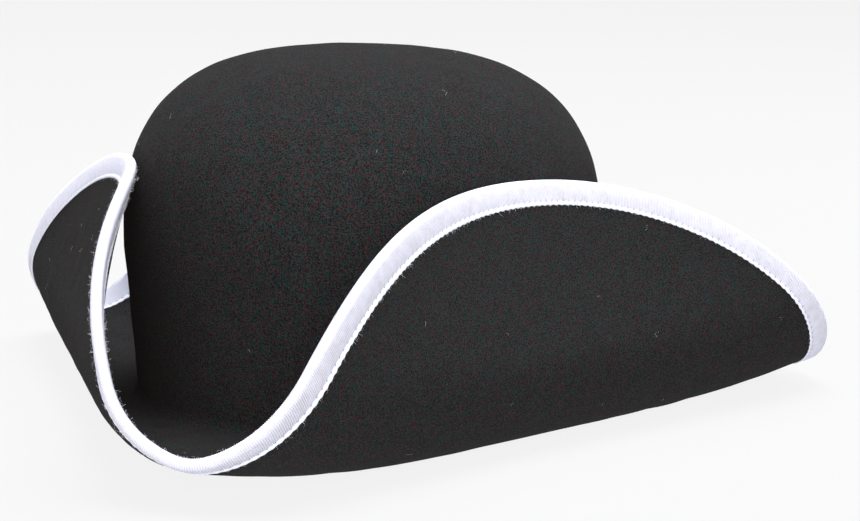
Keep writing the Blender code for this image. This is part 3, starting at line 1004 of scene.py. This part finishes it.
def make_tack(name, degrees, material):
    """A few twisted turns of thread from a turn-up's inner face to the crown's wall."""
    angle = np.array([np.radians(degrees)])
    point, _, up = brim_frame(angle, 1 - TACK_INSET / brim_width(angle))
    start = (point + up * FELT / 2)[0]
    wall = on_wall(start)
    line = unit(wall - start)
    start = start - line * 0.0004
    wall = wall + line * 0.0006
    across = unit(np.cross(line, [0.0, 0.0, 1.0]))
    over = np.cross(across, line)
    share = np.linspace(0, 1, 15)[:, None]
    strands = []
    for strand in range(5):
        phase = 2 * np.pi * strand / 5 + 2.2 * share
        spread = 0.00075 - 0.0003 * np.sin(np.pi * share)
        twist = spread * (across * np.cos(phase) + over * np.sin(phase))
        strands.append(start + (wall - start) * share + twist)
    return tubes(name, np.stack(strands), np.full(15, 0.00032), 8, material)


def on_wall(point):
    """The point of the crown's wall at the same height and in the same direction from the crown's axis."""
    share = crown_share(point[2])
    axis = np.array([CROWN_LEAN * point[2], 0.0, point[2]])
    reach = np.hypot(*((point - axis)[:2] / (CROWN_HALF_WIDTH * share, CROWN_HALF_LENGTH * share)))
    return axis + (point - axis) / reach


# ---- Stage ----


def add_floor(material):
    """A wide, pale floor under the hat."""
    half = FLOOR_HALF
    corners = [[x, y, -FLOOR_DROP] for x, y in ((-half, -half), (half, -half), (half, half), (-half, half))]
    data = bpy.data.meshes.new("floor")
    data.from_pydata(corners, [], [[0, 1, 2, 3]])
    data.materials.append(material)
    floor = bpy.data.objects.new("floor", data)
    bpy.context.scene.collection.objects.link(floor)


def axes_at(azimuth, elevation, roll=0.0):
    """Right, up and back directions of a view from an azimuth and an elevation."""
    a, e, r = np.radians([azimuth, elevation, roll])
    back = np.array([np.sin(a) * np.cos(e), -np.cos(a) * np.cos(e), np.sin(e)])
    level = np.array([np.cos(a), np.sin(a), 0.0])
    upright = np.cross(back, level)
    right = level * np.cos(r) + upright * np.sin(r)
    up = upright * np.cos(r) - level * np.sin(r)
    return right, up, back


def place(thing, right, up, back, location):
    """Turns a camera or a lamp to three directions, at a location."""
    axes = Matrix(np.stack([right, up, back], axis=1).tolist()).to_4x4()
    thing.matrix_world = Matrix.Translation(location.tolist()) @ axes


def add_camera():
    """A long lens that looks slightly down, from a little to the wearer's left of the front point."""
    lens = bpy.data.cameras.new("camera")
    lens.lens = FOCAL_LENGTH
    lens.sensor_width = SENSOR_WIDTH
    lens.clip_start = 0.05
    right, up, back = axes_at(*CAMERA_ANGLES)
    shift_right, shift_up = CAMERA_SHIFT
    middle = HAT_MIDDLE + [0, 0, FELT / 2] + right * shift_right + up * shift_up
    camera = bpy.data.objects.new("camera", lens)
    bpy.context.scene.collection.objects.link(camera)
    place(camera, right, up, back, middle + back * CAMERA_DISTANCE)
    bpy.context.scene.camera = camera


def add_light(name, azimuth, elevation, power, colour):
    """A large round lamp that faces the hat."""
    light = bpy.data.lights.new(name, "AREA")
    light.shape = "DISK"
    light.size = LAMP_SIZE
    light.energy = power
    light.color = colour
    lamp = bpy.data.objects.new(name, light)
    bpy.context.scene.collection.objects.link(lamp)
    right, up, back = axes_at(azimuth, elevation)
    place(lamp, right, up, back, HAT_MIDDLE + back * LAMP_DISTANCE)


def add_backdrop():
    """A pale backdrop that stands low all round the floor, under a dark ceiling."""
    world = bpy.data.worlds.new("studio")
    world.use_nodes = True
    nodes, links = world.node_tree.nodes, world.node_tree.links
    direction = nodes.new("ShaderNodeTexCoord").outputs["Generated"]
    parts = nodes.new("ShaderNodeSeparateXYZ")
    links.new(direction, parts.inputs[0])
    ramp = nodes.new("ShaderNodeValToRGB")
    low, high = ramp.color_ramp.elements
    low.position, low.color = BACKDROP_TOP, (BACKDROP_GREY, BACKDROP_GREY, BACKDROP_GREY, 1.0)
    high.position, high.color = CEILING_START, (CEILING_GREY, CEILING_GREY, CEILING_GREY, 1.0)
    links.new(parts.outputs["Z"], ramp.inputs["Fac"])
    links.new(ramp.outputs["Color"], nodes["Background"].inputs["Color"])
    bpy.context.scene.world = world


def add_studio():
    """Four soft lamps, low in front, above, high behind, and behind on the right, in a pale backdrop."""
    add_backdrop()
    for lamp in LAMPS:
        add_light(*lamp)
    bpy.context.scene.view_settings.view_transform = "Standard"


# ---- Everything ----


def attach(piece, slot, *nodes):
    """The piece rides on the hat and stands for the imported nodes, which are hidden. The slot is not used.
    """
    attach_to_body(piece, "root")
    if nodes:
        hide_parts(*nodes)


def make_hat():
    rng = np.random.default_rng(RANDOM_SEED)
    felt = felt_material()
    crown = make_crown(felt, rng)
    attach(crown, "felt", "felt_crown")
    brim = make_brim(felt, rng)
    attach(brim, "felt", "felt_brim")

    ribbon = make_ribbon(ribbon_material())
    attach(ribbon, "white_ribbon", "binding_tape")
    white_thread = thread_material("white_thread", (0.70, 0.69, 0.76), (0.86, 0.85, 0.90))
    attach(make_stitches("binding_stitches", -1, white_thread), "white_thread", "binding_thread")
    attach(make_stitches("binding_bobbin_stitches", 1, white_thread), "white_thread", "binding_bobbin_thread")
    attach(make_edge_wire(wire_material()), "steel_wire", "edge_wire")

    attach(make_ribbon_lint(rng, white_thread), "white_thread")
    attach(make_stray_hairs(crown, brim, rng, white_thread), "white_thread")
    attach(make_felt_fuzz(crown, "crown_fuzz", CROWN_FUZZ, rng, felt), "felt")
    attach(make_felt_fuzz(brim, "brim_fuzz", BRIM_FUZZ, rng, felt), "felt")

    leather = leather_material()
    strip = make_sweatband(leather)
    attach(strip, "sweatband_leather", "sweatband")
    black_thread = thread_material("black_thread", (0.010, 0.010, 0.010), (0.030, 0.030, 0.031))
    attach(make_sweatband_stitches(black_thread), "black_thread", "sweatband_thread")
    band_length()
    for loop_or_knot in make_bow(satin_material()):
        attach(loop_or_knot, "black_ribbon", "sweatband_bow")
    label = make_size_tab(label_material())
    attach(label, "label_cloth", "size_tab")
    attach(make_tab_stitches(black_thread), "black_thread")
    for side, degrees in TACK_ANGLES.items():
        attach(make_tack(f"tack_{side}", degrees, black_thread), "black_thread", f"flap_tack_{side}")


make_hat()
add_floor(floor_material())
add_camera()
add_studio()
